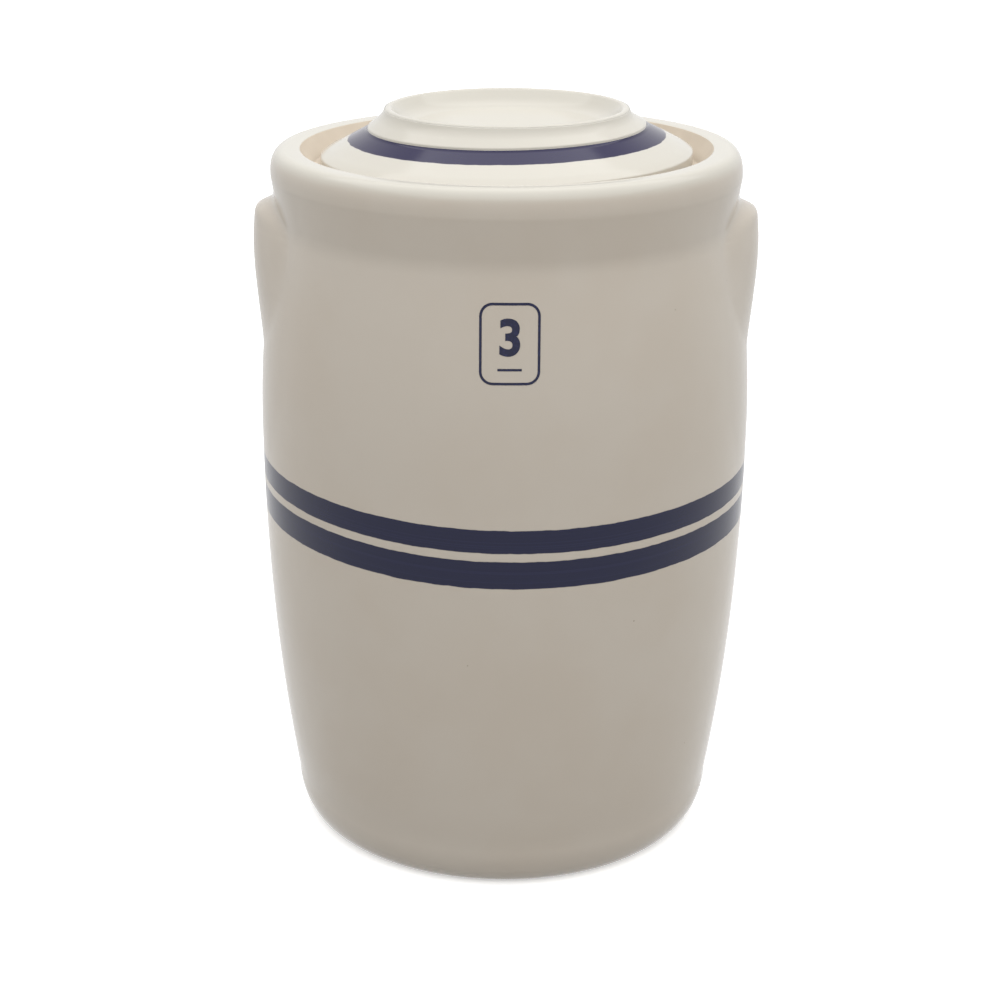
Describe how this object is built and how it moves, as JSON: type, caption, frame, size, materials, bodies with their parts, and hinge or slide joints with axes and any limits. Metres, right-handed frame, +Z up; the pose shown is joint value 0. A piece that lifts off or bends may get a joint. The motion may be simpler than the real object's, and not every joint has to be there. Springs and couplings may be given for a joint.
{
  "type": "stoneware butter churn",
  "caption": "Tall glazed stoneware butter churn with rolled rim, lug ears, blue bands, a drop-in lid with a dished cup and a wooden cross dasher inside.",
  "frame": {"origin": "centre of the crock's base, on the surface it stands on", "axes": "+Z up along the crock's axis, -Y out of the front, where the numeral is, +X to the right ear as seen from the front"},
  "size_m": [0.2522, 0.2478, 0.3725],
  "materials": {
    "cream_glaze": "gloss",
    "lid_glaze": "gloss",
    "dasher_wood": "matte",
    "peg_wood": "matte"
  },
  "bodies": {
    "crock_body": {"crock": "cream_glaze", "ear_left": "cream_glaze", "ear_right": "cream_glaze"},
    "lid_body": {"lid": "lid_glaze"},
    "dasher_body": {"dasher_staff": "dasher_wood", "dasher_slat_lower": "dasher_wood", "dasher_slat_upper": "dasher_wood", "dasher_peg": "peg_wood"}
  },
  "joints": [
    {"name": "lid_lift", "type": "slide", "parent": "crock_body", "child": "lid_body", "axis": [0, 0, 1], "range_m": [0, 0.08]},
    {"name": "dasher_stroke", "type": "slide", "parent": "crock_body", "child": "dasher_body", "axis": [0, 0, 1], "range_m": [0, 0.28]}
  ]
}
